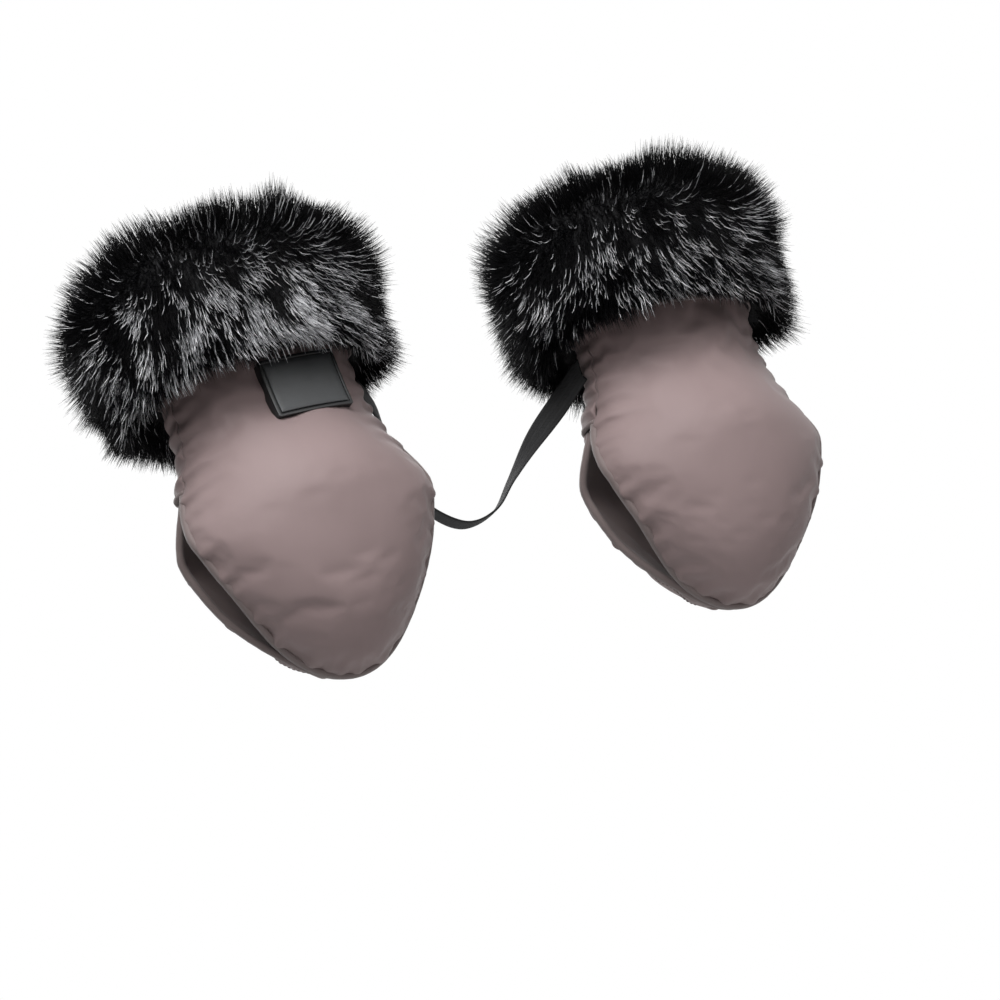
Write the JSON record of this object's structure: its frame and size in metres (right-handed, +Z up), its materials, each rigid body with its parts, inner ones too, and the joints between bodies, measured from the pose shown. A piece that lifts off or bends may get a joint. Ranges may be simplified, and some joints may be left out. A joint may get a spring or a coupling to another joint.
{
  "type": "stroller hand muff",
  "caption": "Padded mittens with thick fur cuffs for a pushchair handlebar, open at the sides for the bar, each with a palm flap held by press studs, joined by a webbing strap.",
  "frame": {"origin": "on the straight line through both muffs' bar tunnels, half way between the muffs", "axes": "+X along the handlebar from the left muff to the right one, +Z up towards the fur cuffs, -Y towards the front panels that lie over the backs of the hands"},
  "size_m": [0.4609, 0.152, 0.2772],
  "materials": {
    "taupe_shell": "satin woven",
    "white_wadding": "lofty fibre",
    "taupe_lining": "matt brushed",
    "taupe_binding": "woven tape",
    "black_fur": "long pile",
    "nickel_stud": "nickel",
    "grey_rubber": "matt moulded",
    "black_webbing": "woven webbing"
  },
  "bodies": {
    "left_muff": {"left_front_shell": "taupe_shell", "left_front_wadding": "white_wadding", "left_front_lining": "taupe_lining", "left_back_shell": "taupe_shell", "left_back_wadding": "white_wadding", "left_back_lining": "taupe_lining", "left_front_binding": "taupe_binding", "left_front_placket": "taupe_binding", "left_stud_1": "nickel_stud", "left_stud_2": "nickel_stud", "left_stud_3": "nickel_stud", "left_fur_cuff": "black_fur", "left_cuff_sleeve": "taupe_lining", "left_cuff_tape": "taupe_binding", "label_base": "grey_rubber", "label_plate": "grey_rubber", "link_strap": "black_webbing"},
    "left_flap": {"left_flap_shell": "taupe_shell", "left_flap_wadding": "white_wadding", "left_flap_lining": "taupe_lining", "left_flap_binding": "taupe_binding", "left_flap_placket": "taupe_binding", "left_socket_1": "nickel_stud", "left_socket_2": "nickel_stud", "left_socket_3": "nickel_stud"},
    "right_muff": {"right_front_shell": "taupe_shell", "right_front_wadding": "white_wadding", "right_front_lining": "taupe_lining", "right_back_shell": "taupe_shell", "right_back_wadding": "white_wadding", "right_back_lining": "taupe_lining", "right_front_binding": "taupe_binding", "right_front_placket": "taupe_binding", "right_stud_1": "nickel_stud", "right_stud_2": "nickel_stud", "right_stud_3": "nickel_stud", "right_fur_cuff": "black_fur", "right_cuff_sleeve": "taupe_lining", "right_cuff_tape": "taupe_binding"},
    "right_flap": {"right_flap_shell": "taupe_shell", "right_flap_wadding": "white_wadding", "right_flap_lining": "taupe_lining", "right_flap_binding": "taupe_binding", "right_flap_placket": "taupe_binding", "right_socket_1": "nickel_stud", "right_socket_2": "nickel_stud", "right_socket_3": "nickel_stud"}
  },
  "joints": [
    {"name": "left_flap_hinge", "type": "hinge", "parent": "left_muff", "child": "left_flap", "pos_m": [-0.13306, 0.0463, 0.05768], "axis": [0.9945, 0, 0.1045], "range_deg": [0, 65]},
    {"name": "right_muff_slide", "type": "slide", "parent": "left_muff", "child": "right_muff", "axis": [1, 0, 0], "range_m": [-0.045, 0.03], "deforming": ["link_strap"]},
    {"name": "right_flap_hinge", "type": "hinge", "parent": "right_muff", "child": "right_flap", "pos_m": [0.127, 0.0463, 0.058], "axis": [1, 0, 0], "range_deg": [0, 65]}
  ]
}
